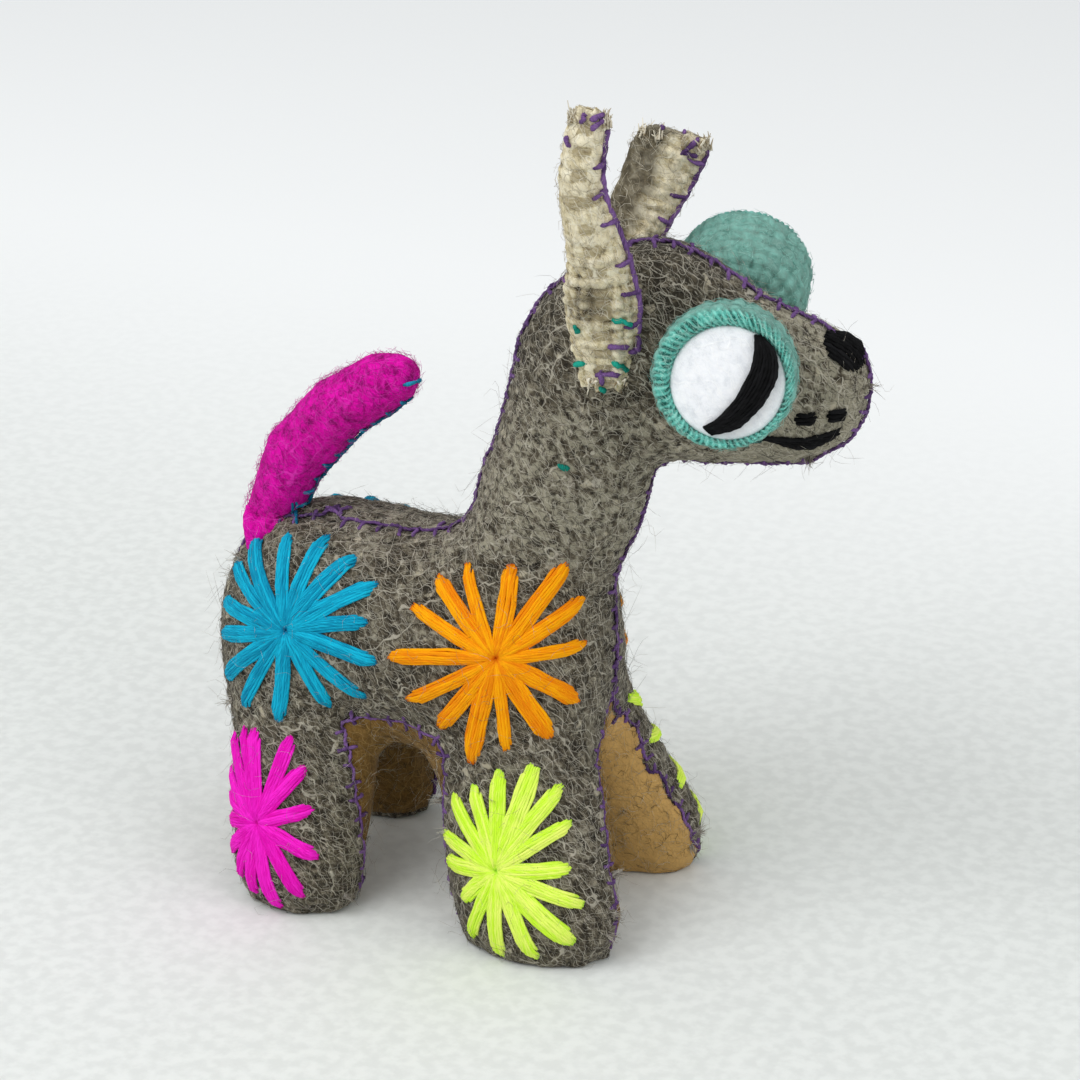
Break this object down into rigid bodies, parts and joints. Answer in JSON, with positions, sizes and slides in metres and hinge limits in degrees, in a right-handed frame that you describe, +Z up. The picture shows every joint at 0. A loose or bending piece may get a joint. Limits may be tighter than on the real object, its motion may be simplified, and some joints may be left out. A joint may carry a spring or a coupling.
{
  "type": "wool dog figure",
  "caption": "Standing stuffed wool dog with a curled-up tail, upright ears, big padded eyes and embroidered yarn stars; a soft decorative figure.",
  "frame": {"origin": "on the floor under the middle of the whole figure, ear tips, tail and nose included", "axes": "+Z up, +X the way the dog stands facing, +Y towards its own left side"},
  "size_m": [0.137, 0.074, 0.1833],
  "materials": {
    "grey_wool": "matte, hairy, coarse woven wool with raised relief",
    "brown_felt": "matte felt",
    "magenta_wool": "matte, hairy felted wool",
    "cream_cloth": "matte, coarse open plain weave",
    "teal_wool": "matte coarse weave",
    "white_felt": "matte felt",
    "purple_thread": "soft sheen sewing yarn in the seams",
    "black_yarn": "satin stitch yarn",
    "blue_yarn": "soft sheen yarn",
    "orange_yarn": "soft sheen yarn",
    "pink_yarn": "soft sheen yarn",
    "lime_yarn": "soft sheen yarn"
  },
  "bodies": {
    "root": {"body": "grey_wool", "underside": "brown_felt", "tail": "magenta_wool", "ear_right": "cream_cloth", "ear_left": "cream_cloth", "eye_pad_right": "teal_wool", "eye_white_right": "white_felt", "pupil_right": "black_yarn", "star_blue_right": "blue_yarn", "star_orange_right": "orange_yarn", "star_pink_right": "pink_yarn", "star_lime_right": "lime_yarn", "whisker_right_rear": "black_yarn", "whisker_right_front": "black_yarn", "mouth_right": "black_yarn", "eye_pad_left": "teal_wool", "eye_white_left": "white_felt", "pupil_left": "black_yarn", "star_blue_left": "blue_yarn", "star_orange_left": "orange_yarn", "star_pink_left": "pink_yarn", "star_lime_left": "lime_yarn", "whisker_left_rear": "black_yarn", "whisker_left_front": "black_yarn", "mouth_left": "black_yarn", "nose": "black_yarn"}
  },
  "joints": []
}
